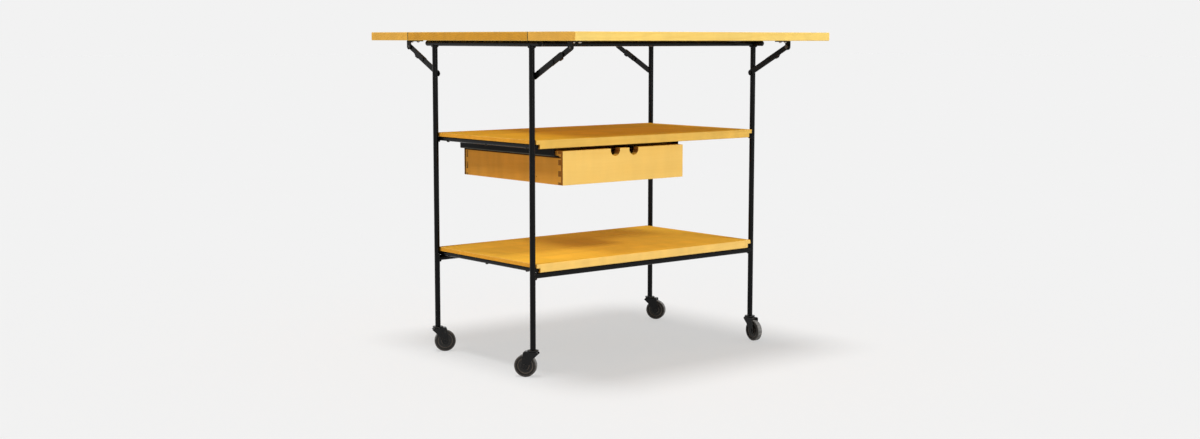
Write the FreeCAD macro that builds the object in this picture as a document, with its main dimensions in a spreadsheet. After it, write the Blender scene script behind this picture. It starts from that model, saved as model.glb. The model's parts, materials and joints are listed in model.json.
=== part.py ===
# Room service table: a wooden top with a drop leaf along the front and the back, carried by a welded
# steel rod frame on four swivel casters, with two shelves and a shallow drawer under the middle shelf.
#
# Frame of the model: millimetres, origin on the floor under the middle of the table, +X along the
# length to the right, +Y to the back, +Z up.  The leaves are up and the drawer is shut.
import FreeCAD, Part
import os
import re

import Sketcher
from FreeCAD import Placement, Rotation, Vector

# ---------------------------------------------------------------------------------------------------
# Driving sizes: alias, value in millimetres or degrees, meaning
# ---------------------------------------------------------------------------------------------------
SIZES = [
    # top
    ("top_height", 749.3, "floor to the top surface"),
    ("top_length", 762.0, "length of the centre panel and of the leaves"),
    ("top_depth", 457.2, "hinge axis to hinge axis"),
    ("top_thickness", 19.05, "thickness of the panel and the leaves"),
    ("leaf_depth", 158.75, "hinge axis to the leaf's free edge"),
    ("seam_gap", 1.4, "open seam between panel and leaf"),
    ("edge_chamfer", 1.0, "broken edges of panel, leaves and shelves"),
    # frame
    ("rod_diameter", 12.7, "legs and rails"),
    ("end_overhang", 45.3, "end of the top beyond the leg axis"),
    ("side_overhang", 44.4, "hinge axis beyond the leg axis"),
    ("leg_top_relief", 2.0, "leg's fish-mouth stops this far below the rail's axis"),
    ("rail_overhang", 32.8, "top side rail beyond the leg axis"),
    ("rail_end_chamfer", 2.8, "chamfered ends of the top side rails"),
    ("shelf_rail_diameter", 10.0, "rails under the shelf ends"),
    ("shelf_rail_end", 1.8, "shelf rail beyond the leg axis"),
    ("weld_radius", 3.0, "weld beads"),
    ("weld_length", 8.0, "weld beads"),
    # shelves
    ("middle_shelf_height", 517.2, "floor to the middle shelf's top"),
    ("lower_shelf_height", 248.05, "floor to the lower shelf's top"),
    ("shelf_thickness", 19.05, "both shelves"),
    ("shelf_clearance", 0.3, "shelf end to leg"),
    ("rabbet_width", 9.9, "end rabbet that sits on the shelf rail"),
    ("rabbet_height", 10.0, "height of the end rabbet"),
    # drawer
    ("drawer_offset", -78.1, "drawer's centre from the table's centre"),
    ("drawer_width", 357.0, "outside"),
    ("drawer_depth", 373.0, "front face to back face"),
    ("drawer_height", 75.0, "front, sides and back"),
    ("drawer_drop", 7.65, "room between drawer and middle shelf"),
    ("front_thickness", 16.3, "drawer front"),
    ("front_lap", 6.7, "drawer front in front of the half-blind fingers"),
    ("side_thickness", 12.0, "drawer sides"),
    ("back_thickness", 12.0, "drawer back"),
    ("finger_height", 12.5, "width of one finger"),
    ("bottom_thickness", 4.5, "drawer bottom"),
    ("bottom_raise", 6.0, "under the drawer bottom"),
    ("bottom_groove", 5.0, "groove depth for the bottom"),
    ("bottom_clearance", 0.2, "room round the bottom's edge in its groove"),
    ("notch_width", 27.3, "finger notch in the drawer front"),
    ("notch_depth", 17.0, "finger notch in the drawer front"),
    ("notch_spacing", 55.0, "finger notch to finger notch"),
    # runners
    ("runner_thickness", 2.0, "sheet of the Z-section runners"),
    ("runner_gap", 4.3, "drawer side to the runner's web"),
    ("runner_reach", 6.0, "runner lip inside the groove of the drawer side"),
    ("runner_flange", 12.0, "flange under the shelf, beyond the web"),
    ("runner_length", 358.4, "front to back"),
    ("runner_inset", 0.5, "runner's back end in front of the shelf's back edge"),
    ("runner_clearance", 0.3, "lip to the groove's upper face"),
    ("groove_drop", 10.3, "drawer's upper edge to the groove's upper face"),
    ("groove_height", 3.0, "groove in the drawer side"),
    ("groove_depth", 6.5, "groove in the drawer side"),
    ("groove_stop", 11.6, "drawer's front face to the groove's blind end"),
    # braces
    ("leg_pivot_drop", 76.25, "underside of the top to the leg pivot"),
    ("ear_reach", 76.7, "hinge axis to the bracket's pivot"),
    ("ear_drop", 14.0, "underside of the leaf to the bracket's pivot"),
    ("leg_link_length", 70.0, "leg pivot to elbow"),
    ("leg_link_width", 13.5, "leg link"),
    ("leaf_link_width", 12.0, "leaf link"),
    ("link_thickness", 2.5, "both links and the bracket"),
    ("link_gap", 0.3, "between the planes of the links, and to the leg"),
    ("leg_link_tail", 38.0, "leg link beyond the elbow"),
    ("leaf_link_tail", 12.5, "leaf link beyond the elbow"),
    ("stop_tab_length", 10.0, "bent stop at the end of the leg link"),
    ("pivot_diameter", 5.0, "studs and pins"),
    ("pivot_head_diameter", 9.0, "studs, pins and rivets"),
    ("pivot_head_height", 1.7, "studs, pins and rivets"),
    ("pivot_clearance", 0.05, "radial room of a pivot"),
    ("bracket_length", 37.0, "bracket flange along the leaf"),
    ("bracket_width", 15.0, "bracket, front to back"),
    # hinges
    ("hinge_spacing", 460.0, "hinge to hinge"),
    ("hinge_length", 38.0, "along the seam"),
    ("hinge_plate_width", 16.0, "hinge axis to the plate's edge"),
    ("hinge_plate_thickness", 1.5, "both plates"),
    ("hinge_barrel_diameter", 4.8, "knuckles"),
    ("hinge_middle_knuckle", 13.0, "length of the leaf plate's knuckle"),
    ("hinge_knuckle_gap", 0.3, "between knuckles"),
    ("hinge_pin_diameter", 2.4, "pins"),
    ("hinge_relief", 0.5, "room round the barrel in the wood"),
    # casters
    ("wheel_diameter", 50.0, "tread"),
    ("wheel_width", 13.0, "tread"),
    ("wheel_shoulder", 1.6, "chamfer of the tread's edges"),
    ("wheel_rim", 6.0, "rim, measured along the radius"),
    ("wheel_recess", 1.6, "recess between hub and rim on each side"),
    ("hub_length", 14.6, "wheel hub"),
    ("hub_diameter", 14.0, "wheel hub"),
    ("axle_diameter", 5.0, "axle"),
    ("axle_head_diameter", 8.6, "axle heads"),
    ("axle_head_height", 1.5, "axle heads"),
    ("axle_clearance", 0.05, "radial room of the hub on its axle"),
    ("axle_to_crown", 32.0, "axle to the top of the fork"),
    ("caster_trail", 16.5, "swivel axis to the axle"),
    ("fork_sheet", 1.8, "fork's sheet"),
    ("fork_inner_width", 15.0, "between the cheeks"),
    ("fork_bend_radius", 2.4, "outer bend between crown and cheek"),
    ("fork_nose_reach", 13.7, "swivel axis to the tip of the nose"),
    ("fork_nose_drop", 5.0, "crown to the tip of the nose"),
    ("fork_crown_front", 9.0, "swivel axis to the crown's front end"),
    ("fork_crown_back", 18.5, "swivel axis to the crown's back end"),
    ("fork_back_reach", 20.8, "swivel axis to the fork's back edge"),
    ("fork_back_drop", 2.5, "crown to the top of the back edge"),
    ("fork_back_length", 10.0, "crown to the foot of the upright back edge"),
    ("fork_waist_reach", 2.0, "swivel axis forward to the waist of the cheek"),
    ("fork_waist_drop", 16.0, "crown to the waist of the cheek"),
    ("cheek_radius", 8.7, "cheek round the axle"),
    ("cheek_front_rise", 2.0, "axle up to where the front edge meets the round end"),
    ("raceway_diameter", 25.0, "upper race"),
    ("raceway_height", 4.0, "top of the fork to the foot of the leg"),
    ("raceway_crown", 1.4, "height of the upper race's slope"),
    ("swivel_clearance", 0.3, "fork to upper race and to the rivet's head"),
    ("swivel_rivet_diameter", 6.0, "rivet through the crown"),
    ("swivel_rivet_clearance", 0.1, "radial room of the rivet in the crown"),
    ("swivel_head_diameter", 11.0, "rivet's head under the crown"),
    ("swivel_head_height", 2.0, "rivet's head under the crown"),
    ("stem_diameter", 7.0, "stem in the leg"),
    ("stem_length", 22.0, "stem in the leg"),
    ("stem_clearance", 0.05, "radial room of the stem in the leg"),
    ("stem_bore_spare", 1.0, "bore in the leg beyond the stem"),
    ("trail_front_left", 130.0, "direction in which the wheel trails, from +X"),
    ("trail_back_left", -30.0, "direction in which the wheel trails, from +X"),
    ("trail_back_right", -55.0, "direction in which the wheel trails, from +X"),
    ("trail_front_right", -96.8, "direction in which the wheel trails, from +X"),
]

doc = FreeCAD.newDocument("room_service_table")
sheet = doc.addObject("Spreadsheet::Sheet", "sizes")
for row, (alias, number, meaning) in enumerate(SIZES, 1):
    sheet.set("A%d" % row, alias)
    sheet.set("B%d" % row, str(number))
    sheet.set("C%d" % row, meaning)
    sheet.setAlias("B%d" % row, alias)
doc.recompute()

ALIASES = {alias for alias, number, meaning in SIZES}

# ---------------------------------------------------------------------------------------------------
# Sizes that follow from the driving ones, as expressions
# ---------------------------------------------------------------------------------------------------
ROD = "(rod_diameter / 2)"
SHELF_ROD = "(shelf_rail_diameter / 2)"
UNDERSIDE = "(top_height - top_thickness)"
SEAM_Y = "(top_depth / 2)"
LEG_X = "(top_length / 2 - end_overhang)"
LEG_Y = "(%s - side_overhang)" % SEAM_Y
TOP_RAIL_Z = "(%s - %s)" % (UNDERSIDE, ROD)
AXLE_Z = "(wheel_diameter / 2)"
CROWN_Z = "(%s + axle_to_crown)" % AXLE_Z
FOOT_Z = "(%s + raceway_height)" % CROWN_Z
SHELF_RAIL_X = "(%s - %s - %s)" % (LEG_X, ROD, SHELF_ROD)
SHELF_X = "(%s - %s - shelf_clearance)" % (LEG_X, ROD)
SHELF_Y = "(%s + %s)" % (LEG_Y, ROD)
MIDDLE_UNDERSIDE = "(middle_shelf_height - shelf_thickness)"
LOWER_UNDERSIDE = "(lower_shelf_height - shelf_thickness)"
MIDDLE_RAIL_Z = "(%s + rabbet_height - %s)" % (MIDDLE_UNDERSIDE, SHELF_ROD)
LOWER_RAIL_Z = "(%s + rabbet_height - %s)" % (LOWER_UNDERSIDE, SHELF_ROD)
CROSS_RAIL_Z = "(%s - %s - %s)" % (LOWER_RAIL_Z, SHELF_ROD, ROD)

DRAWER_FRONT_Y = "(-%s)" % SHELF_Y
DRAWER_BACK_Y = "(%s + drawer_depth)" % DRAWER_FRONT_Y
DRAWER_TOP = "(%s - drawer_drop)" % MIDDLE_UNDERSIDE
DRAWER_FLOOR = "(%s - drawer_height)" % DRAWER_TOP
DRAWER_LEFT = "(drawer_offset - drawer_width / 2)"
DRAWER_RIGHT = "(drawer_offset + drawer_width / 2)"
FINGER_TIP_Y = "(%s + front_lap)" % DRAWER_FRONT_Y
FRONT_INNER_Y = "(%s + front_thickness)" % DRAWER_FRONT_Y
BACK_INNER_Y = "(%s - back_thickness)" % DRAWER_BACK_Y
BOTTOM_Z = "(%s + bottom_raise)" % DRAWER_FLOOR
GROOVE_TOP = "(%s - groove_drop)" % DRAWER_TOP

# The links of a brace lie in two planes beside the leg: the leg link and the bracket's ear in the
# outer one, the leaf link in the inner one.
OUTER_PLANE = "(%s - %s - link_gap - link_thickness / 2)" % (LEG_X, ROD)
INNER_PLANE = "(%s - link_gap - link_thickness)" % OUTER_PLANE
LEG_PIVOT_Z = "(%s - leg_pivot_drop)" % UNDERSIDE
EAR_Y = "(%s + ear_reach)" % SEAM_Y
EAR_Z = "(%s - ear_drop)" % UNDERSIDE
BRACE_RUN = "(%s - %s)" % (EAR_Y, LEG_Y)
BRACE_RISE = "(%s - %s)" % (EAR_Z, LEG_PIVOT_Z)
BRACE_ANGLE = "atan2(%s; %s)" % (BRACE_RISE, BRACE_RUN)
BRACE_LENGTH = "sqrt(%s^2 + %s^2)" % (BRACE_RUN, BRACE_RISE)
LEAF_LINK_LENGTH = "(%s - leg_link_length)" % BRACE_LENGTH

# Corner name: sign along X, sign along Y
CORNERS = {
    "front_left": ("-1", "-1"),
    "back_left": ("-1", "1"),
    "back_right": ("1", "1"),
    "front_right": ("1", "-1"),
}


def expression(text):
    """The text with every size name pointing at its cell."""
    def point(match):
        word = match.group()
        return "sizes." + word if word in ALIASES else word

    return re.sub(r"[a-z][a-z_]*", point, text)


def value(text):
    """The number an expression gives now."""
    result = sheet.evalExpression(expression(text))
    return float(getattr(result, "Value", result))


def bind(thing, prop, text):
    thing.setExpression(prop, expression(text))


def place(thing, x="0", y="0", z="0"):
    """Tie a piece's position to expressions."""
    bind(thing, "Placement.Base.x", x)
    bind(thing, "Placement.Base.y", y)
    bind(thing, "Placement.Base.z", z)


def turn(thing, axis, angle):
    """Turn a piece about an axis through its own origin by an angle given as an expression."""
    thing.Placement = Placement(thing.Placement.Base, Rotation(axis, value(angle)))
    bind(thing, "Placement.Rotation.Angle", angle)


# ---------------------------------------------------------------------------------------------------
# Sketches and features
# ---------------------------------------------------------------------------------------------------
def new_body(label):
    body = doc.addObject("PartDesign::Body", label)
    body.Label = label
    return body


def sketch_on(body, role, offset="0"):
    """A sketch on one of the body's origin planes, moved along the plane's normal."""
    plane = [feature for feature in body.Origin.OriginFeatures if feature.Role == role][0]
    sketch = body.newObject("Sketcher::SketchObject", "Outline")
    sketch.AttachmentSupport = [(plane, "")]
    sketch.MapMode = "FlatFace"
    bind(sketch, "AttachmentOffset.Base.z", offset)
    return sketch


def hold(sketch, kind, geometry, point, text):
    """One coordinate of a sketch point, tied to an expression."""
    number = sketch.addConstraint(Sketcher.Constraint(kind, geometry, point, value(text)))
    bind(sketch, "Constraints[%d]" % number, text)


def polygon(sketch, points):
    """A closed outline through points given as pairs of expressions."""
    first = sketch.GeometryCount
    corners = [Vector(value(x), value(y), 0) for x, y in points]
    count = len(corners)
    lines = [Part.LineSegment(corners[i], corners[(i + 1) % count]) for i in range(count)]
    sketch.addGeometry(lines, False)
    for i in range(count):
        sketch.addConstraint(Sketcher.Constraint("Coincident", first + i, 2, first + (i + 1) % count, 1))
    for i, (x, y) in enumerate(points):
        hold(sketch, "DistanceX", first + i, 1, x)
        hold(sketch, "DistanceY", first + i, 1, y)
    return sketch


def rectangle(sketch, left, right, low, high):
    return polygon(sketch, [(left, low), (right, low), (right, high), (left, high)])


def circle(sketch, x, y, diameter):
    centre = Vector(value(x), value(y), 0)
    number = sketch.addGeometry(Part.Circle(centre, Vector(0, 0, 1), value(diameter) / 2), False)
    hold(sketch, "DistanceX", number, 3, x)
    hold(sketch, "DistanceY", number, 3, y)
    constraint = sketch.addConstraint(Sketcher.Constraint("Diameter", number, value(diameter)))
    bind(sketch, "Constraints[%d]" % constraint, diameter)
    return sketch


def pad(body, sketch, length, symmetric=False):
    feature = body.newObject("PartDesign::Pad", "Pad")
    feature.Profile = sketch
    bind(feature, "Length", length)
    if symmetric:
        feature.SideType = "Symmetric"
    doc.recompute()
    return feature


def pocket(body, sketch, depth=None, flip=False, certain=True):
    """Cut the sketch into the body: right through both ways, or to a depth on one side."""
    before = body.Shape.Volume
    feature = body.newObject("PartDesign::Pocket", "Pocket")
    feature.Profile = sketch
    if depth is None:
        feature.Type = "ThroughAll"
        feature.SideType = "Symmetric"
    else:
        bind(feature, "Length", depth)
        feature.Reversed = flip
    doc.recompute()
    if certain and not body.Shape.Volume < before:
        raise RuntimeError("%s: a pocket removed nothing" % body.Label)
    return feature


def revolve(body, sketch, axis):
    feature = body.newObject("PartDesign::Revolution", "Revolution")
    feature.Profile = sketch
    feature.ReferenceAxis = (sketch, [axis])
    feature.Angle = 360
    doc.recompute()
    return feature


def dress(body, kind, prop, size, wanted):
    """A fillet or chamfer on the edges for which wanted(edge) is true."""
    doc.recompute()
    tip = body.Tip
    names = ["Edge%d" % (i + 1) for i, edge in enumerate(tip.Shape.Edges) if wanted(edge)]
    feature = body.newObject("PartDesign::" + kind, kind)
    feature.Base = (tip, names)
    bind(feature, prop, size)
    doc.recompute()
    return feature


def fillet(body, radius, wanted):
    return dress(body, "Fillet", "Radius", radius, wanted)


def chamfer(body, size, wanted):
    return dress(body, "Chamfer", "Size", size, wanted)


def is_straight(edge):
    return isinstance(edge.Curve, (Part.Line, Part.LineSegment))


def near(a, b):
    return abs(a - b) < 1e-3


# ---------------------------------------------------------------------------------------------------
# Shared forms
# ---------------------------------------------------------------------------------------------------
def rod(label, direction, diameter, length):
    """A plain round bar from its own origin along X, Y or Z."""
    bar = doc.addObject("Part::Cylinder", label)
    bind(bar, "Radius", "%s / 2" % diameter)
    bind(bar, "Height", length)
    turns = {"X": Rotation(Vector(0, 1, 0), 90), "Y": Rotation(Vector(1, 0, 0), -90), "Z": Rotation()}
    bar.Placement = Placement(Vector(), turns[direction])
    return bar


def cut(label, base, tools):
    """The base less every tool; the last cut carries the label."""
    shape = base
    for number, tool in enumerate(tools):
        step = doc.addObject("Part::Cut", "%s_cut%d" % (label, number))
        step.Base = shape
        step.Tool = tool
        shape = step
    shape.Label = label
    return shape


def compound(name, members):
    node = doc.addObject("Part::Compound", name)
    node.Links = members
    return node


def copies_of(master, places):
    """A copy of the master at each (x, y, z, turn about Z) given as expressions."""
    copies = []
    for x, y, z, angle in places:
        copy = doc.addObject("App::Link", master.Label + "_copy")
        copy.LinkedObject = master
        place(copy, x, y, z)
        turn(copy, Vector(0, 0, 1), angle)
        copies.append(copy)
    return copies


def board(label, left, right, front, back, low, thickness):
    """A flat board with all its edges broken."""
    body = new_body(label)
    pad(body, rectangle(sketch_on(body, "XY_Plane", low), left, right, front, back), thickness)
    chamfer(body, "edge_chamfer", is_straight)
    return body


# ---------------------------------------------------------------------------------------------------
# Top
# ---------------------------------------------------------------------------------------------------
SIDES = ["-1", "1"]
HINGE_ROW = ["-hinge_spacing / 2", "hinge_spacing / 2"]


def hinge_gains(body, edge_sign, inward_sign):
    """Rebates in a panel's bottom edge that clear the hinge barrels."""
    reach = "(hinge_barrel_diameter / 2 + hinge_relief)"
    sketch = sketch_on(body, "XY_Plane", UNDERSIDE)
    for x in HINGE_ROW:
        near_edge = "%s * %s" % (edge_sign, SEAM_Y)
        far_edge = "%s + %s * %s" % (near_edge, inward_sign, reach)
        ends = ["(%s) - %s * seam_gap" % (near_edge, inward_sign), far_edge]
        if value(ends[0]) > value(ends[1]):
            ends.reverse()
        half = "(hinge_length / 2 + hinge_relief)"
        rectangle(sketch, "%s - %s" % (x, half), "%s + %s" % (x, half), ends[0], ends[1])
    pocket(body, sketch, reach, flip=True)


def top_panel():
    half = "top_length / 2"
    depth = "(%s - seam_gap / 2)" % SEAM_Y
    body = board("top_panel", "-%s" % half, half, "-%s" % depth, depth, UNDERSIDE, "top_thickness")
    hinge_gains(body, "-1", "1")
    hinge_gains(body, "1", "-1")
    return body


def leaf(label, sign):
    half = "top_length / 2"
    edges = ["%s * (%s + seam_gap / 2)" % (sign, SEAM_Y), "%s * (%s + leaf_depth)" % (sign, SEAM_Y)]
    if sign == "-1":
        edges.reverse()
    body = board(label, "-%s" % half, half, edges[0], edges[1], UNDERSIDE, "top_thickness")
    hinge_gains(body, sign, sign)
    return body


# ---------------------------------------------------------------------------------------------------
# Hinges: barrel along X through the origin, fixed plate towards +Y, leaf plate towards -Y
# ---------------------------------------------------------------------------------------------------
KNUCKLE_EDGE = "(hinge_middle_knuckle / 2)"
NOTCH_EDGE = "(%s + hinge_knuckle_gap)" % KNUCKLE_EDGE
PLATE_START = "(hinge_barrel_diameter / 2 + hinge_knuckle_gap)"


def hinge_bore(body):
    pocket(body, circle(sketch_on(body, "YZ_Plane"), "0", "0", "hinge_pin_diameter + 2 * pivot_clearance"))


def hinge_fixed_plate():
    body = new_body("hinge_fixed_plate")
    end = "hinge_length / 2"
    outline = [
        ("-%s" % end, "0"), ("-%s" % NOTCH_EDGE, "0"), ("-%s" % NOTCH_EDGE, PLATE_START),
        (NOTCH_EDGE, PLATE_START), (NOTCH_EDGE, "0"), (end, "0"),
        (end, "hinge_plate_width"), ("-%s" % end, "hinge_plate_width"),
    ]
    plate = polygon(sketch_on(body, "XY_Plane", "-hinge_plate_thickness"), outline)
    pad(body, plate, "hinge_plate_thickness")
    for start in ["-%s" % end, NOTCH_EDGE]:
        knuckle = circle(sketch_on(body, "YZ_Plane", start), "0", "0", "hinge_barrel_diameter")
        pad(body, knuckle, "%s - %s" % (end, NOTCH_EDGE))
    hinge_bore(body)
    return body


def hinge_leaf_plate():
    body = new_body("hinge_leaf_plate")
    end = "hinge_length / 2"
    outline = [
        ("-%s" % end, "-%s" % PLATE_START), ("-%s" % KNUCKLE_EDGE, "-%s" % PLATE_START),
        ("-%s" % KNUCKLE_EDGE, "0"), (KNUCKLE_EDGE, "0"), (KNUCKLE_EDGE, "-%s" % PLATE_START),
        (end, "-%s" % PLATE_START), (end, "-hinge_plate_width"), ("-%s" % end, "-hinge_plate_width"),
    ]
    plate = polygon(sketch_on(body, "XY_Plane", "-hinge_plate_thickness"), outline)
    pad(body, plate, "hinge_plate_thickness")
    knuckle = circle(sketch_on(body, "YZ_Plane", "-%s" % KNUCKLE_EDGE), "0", "0", "hinge_barrel_diameter")
    pad(body, knuckle, "hinge_middle_knuckle")
    hinge_bore(body)
    return body


def hinges():
    """The front hinges face the front; the back ones are turned half round."""
    front = [(x, "-%s" % SEAM_Y, UNDERSIDE, "0") for x in HINGE_ROW]
    back = [(x, SEAM_Y, UNDERSIDE, "180") for x in HINGE_ROW]
    fixed = hinge_fixed_plate()
    moving = hinge_leaf_plate()
    pin = new_body("hinge_pin")
    section = circle(sketch_on(pin, "YZ_Plane"), "0", "0", "hinge_pin_diameter")
    pad(pin, section, "hinge_length", symmetric=True)
    return [
        compound("hinge_plates_fixed", copies_of(fixed, front + back)),
        compound("hinge_plates_front", copies_of(moving, front)),
        compound("hinge_plates_back", copies_of(moving, back)),
        compound("hinge_pins", copies_of(pin, front + back)),
    ]


# ---------------------------------------------------------------------------------------------------
# Frame
# ---------------------------------------------------------------------------------------------------
def top_side_rail(label, side):
    """Bar from front to back over two legs, turned with chamfered ends."""
    body = new_body(label)
    reach = "(%s + rail_overhang)" % LEG_Y
    half = [("0", reach), ("%s - rail_end_chamfer" % ROD, reach), (ROD, "%s - rail_end_chamfer" % reach)]
    outline = half + [(x, "-(%s)" % y) for x, y in reversed(half)]
    revolve(body, polygon(sketch_on(body, "XY_Plane"), outline), "V_Axis")
    place(body, "%s * %s" % (side, LEG_X), "0", TOP_RAIL_Z)
    return body


def shelf_rail(label, side, z):
    """Bar under one end of a shelf, inside two legs."""
    reach = "(%s + shelf_rail_end)" % LEG_Y
    bar = rod(label, "Y", "shelf_rail_diameter", "2 * %s" % reach)
    place(bar, "%s * %s" % (side, SHELF_RAIL_X), "-%s" % reach, z)
    return bar


def side_rails():
    rails = {}
    for name, side in (("left", "-1"), ("right", "1")):
        rails["top_rail_" + name] = top_side_rail("top_rail_" + name, side)
        rails["middle_rail_" + name] = shelf_rail("middle_rail_" + name, side, MIDDLE_RAIL_Z)
        rails["lower_rail_" + name] = shelf_rail("lower_rail_" + name, side, LOWER_RAIL_Z)
    return rails


def leg(corner, rails):
    """Upright bar with a fish-mouth under the top side rail and a bore for the caster's stem."""
    side, depth = CORNERS[corner]
    x = "%s * %s" % (side, LEG_X)
    y = "%s * %s" % (depth, LEG_Y)
    bar = rod("leg_bar_" + corner, "Z", "rod_diameter", "%s - leg_top_relief - %s" % (TOP_RAIL_Z, FOOT_Z))
    place(bar, x, y, FOOT_Z)
    bore_diameter = "(stem_diameter + 2 * stem_clearance)"
    bore = rod("leg_bore_" + corner, "Z", bore_diameter, "stem_length + stem_bore_spare")
    place(bore, x, y, FOOT_Z)
    rail = rails["top_rail_left" if side == "-1" else "top_rail_right"]
    return cut("leg_" + corner, bar, [rail, bore])


def cross_rail(label, depth, z, tools):
    """Bar along the length between two legs, its ends coped to what they meet."""
    bar = rod(label + "_bar", "X", "rod_diameter", "2 * %s" % LEG_X)
    place(bar, "-%s" % LEG_X, "%s * %s" % (depth, LEG_Y), z)
    return cut(label, bar, tools)


def cross_rails(rails, legs):
    made = []
    for name, depth in (("front", "-1"), ("back", "1")):
        pair = [legs[name + "_left"], legs[name + "_right"]]
        tops = [rails["top_rail_left"], rails["top_rail_right"]]
        made.append(cross_rail("top_rail_" + name, depth, TOP_RAIL_Z, tops + pair))
        made.append(cross_rail("lower_rail_" + name, depth, CROSS_RAIL_Z, pair))
    return made


def bead(number, direction, x, y, z):
    """Short run of weld centred on a point."""
    run = rod("bead_%d" % number, direction, "(2 * weld_radius)", "weld_length")
    starts = [x, y, z]
    axis = "XYZ".index(direction)
    starts[axis] = "%s - weld_length / 2" % starts[axis]
    place(run, *starts)
    return run


def weld_beads(rails, legs, crosses):
    """Beads under the bars at the legs, cut to lie on the bars."""
    crotches = []
    for side, depth in CORNERS.values():
        x = "%s * %s" % (side, LEG_X)
        y = "%s * %s" % (depth, LEG_Y)
        inner = "%s * (%s - %s)" % (side, LEG_X, ROD)
        for way in SIDES:
            crotches.append(("X", x, "%s + %s * %s" % (y, way, ROD), "%s - %s" % (TOP_RAIL_Z, ROD)))
        crotches.append(("Y", inner, y, "%s - %s" % (MIDDLE_RAIL_Z, SHELF_ROD)))
        crotches.append(("Y", inner, y, "%s - %s" % (CROSS_RAIL_Z, ROD)))
    beads = [bead(number, *crotch) for number, crotch in enumerate(crotches)]
    tools = [
        compound("bead_legs", list(legs.values())),
        compound("bead_rails", list(rails.values())),
        compound("bead_crosses", crosses),
    ]
    return cut("weld_beads", compound("bead_runs", beads), tools)


# ---------------------------------------------------------------------------------------------------
# Shelves
# ---------------------------------------------------------------------------------------------------
def shelf(label, low):
    """Board whose ends are rabbeted to sit on the side rails."""
    body = board(label, "-%s" % SHELF_X, SHELF_X, "-%s" % SHELF_Y, SHELF_Y, low, "shelf_thickness")
    sketch = sketch_on(body, "XZ_Plane")
    top = "%s + rabbet_height" % low
    bottom = "%s - rabbet_height" % low
    inner = "(%s - rabbet_width)" % SHELF_X
    outer = "(%s + rabbet_width)" % SHELF_X
    rectangle(sketch, "-%s" % outer, "-%s" % inner, bottom, top)
    rectangle(sketch, inner, outer, bottom, top)
    pocket(body, sketch)
    return body


# ---------------------------------------------------------------------------------------------------
# Drawer, joined by half-blind fingers at the front and through fingers at the back
# ---------------------------------------------------------------------------------------------------
def finger_bands():
    """Lower and upper edge of each finger of the drawer sides, from the drawer's lower edge up."""
    count = max(1, int(value("drawer_height") // (2 * value("finger_height"))))
    margin = "((drawer_height - %d * finger_height) / 2)" % (2 * count - 1)
    lows = ["%s + %s + %d * finger_height" % (DRAWER_FLOOR, margin, 2 * i) for i in range(count)]
    return [(low, "%s + finger_height" % low) for low in lows]


def drawer_side(label, side):
    body = new_body(label)
    bands = finger_bands()
    outline = [(FRONT_INNER_Y, DRAWER_FLOOR)]
    outline.append((BACK_INNER_Y, DRAWER_FLOOR))
    for low, high in bands:
        outline += [(BACK_INNER_Y, low), (DRAWER_BACK_Y, low), (DRAWER_BACK_Y, high), (BACK_INNER_Y, high)]
    outline += [(BACK_INNER_Y, DRAWER_TOP), (FRONT_INNER_Y, DRAWER_TOP)]
    for low, high in reversed(bands):
        outline += [(FRONT_INNER_Y, high), (FINGER_TIP_Y, high), (FINGER_TIP_Y, low), (FRONT_INNER_Y, low)]
    start = DRAWER_LEFT if side == "-1" else "(%s - side_thickness)" % DRAWER_RIGHT
    pad(body, polygon(sketch_on(body, "YZ_Plane", start), outline), "side_thickness")

    # groove for the runner's lip, open at the back
    outer = DRAWER_LEFT if side == "-1" else DRAWER_RIGHT
    groove = sketch_on(body, "YZ_Plane", outer)
    rectangle(groove, "%s + groove_stop" % DRAWER_FRONT_Y, "%s + side_thickness" % DRAWER_BACK_Y,
              "%s - groove_height" % GROOVE_TOP, GROOVE_TOP)
    pocket(body, groove, "groove_depth", flip=(side == "-1"))

    # groove for the bottom
    inner = "(%s - %s * side_thickness)" % (outer, side)
    slot = sketch_on(body, "YZ_Plane", inner)
    rectangle(slot, "%s - bottom_groove" % FRONT_INNER_Y, "%s + bottom_groove" % BACK_INNER_Y,
              BOTTOM_Z, "%s + bottom_thickness" % BOTTOM_Z)
    pocket(body, slot, "bottom_groove", flip=(side == "1"))
    return body


def bottom_slot(body, y, flip):
    """Groove for the drawer bottom in the inner face of the front or the back."""
    slot = sketch_on(body, "XZ_Plane", "-(%s)" % y)
    rectangle(slot, "%s + side_thickness - bottom_groove" % DRAWER_LEFT,
              "%s - side_thickness + bottom_groove" % DRAWER_RIGHT,
              BOTTOM_Z, "%s + bottom_thickness" % BOTTOM_Z)
    pocket(body, slot, "bottom_groove", flip=flip)


def drawer_front():
    body = new_body("drawer_front")
    outline = sketch_on(body, "XZ_Plane", "-%s" % FRONT_INNER_Y)
    pad(body, rectangle(outline, DRAWER_LEFT, DRAWER_RIGHT, DRAWER_FLOOR, DRAWER_TOP), "front_thickness")

    # finger notches: a round bottom opened up to the top edge
    radius = "notch_width / 2"
    floor = "(%s - notch_depth)" % DRAWER_TOP
    for way in SIDES:
        middle = "(drawer_offset + %s * notch_spacing / 2)" % way
        bottom = circle(sketch_on(body, "XZ_Plane"), middle, "%s + %s" % (floor, radius), "notch_width")
        pocket(body, bottom)
        opening = sketch_on(body, "XZ_Plane")
        rectangle(opening, "%s - %s" % (middle, radius), "%s + %s" % (middle, radius),
                  "%s + %s" % (floor, radius), "%s + notch_depth" % DRAWER_TOP)
        pocket(body, opening)

    # blind sockets for the fingers of the sides
    sockets = sketch_on(body, "XZ_Plane", "-%s" % FRONT_INNER_Y)
    for low, high in finger_bands():
        for end in (DRAWER_LEFT, DRAWER_RIGHT):
            rectangle(sockets, "%s - side_thickness" % end, "%s + side_thickness" % end, low, high)
    pocket(body, sockets, "front_thickness - front_lap", flip=True)
    bottom_slot(body, FRONT_INNER_Y, flip=True)
    return body


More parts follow.
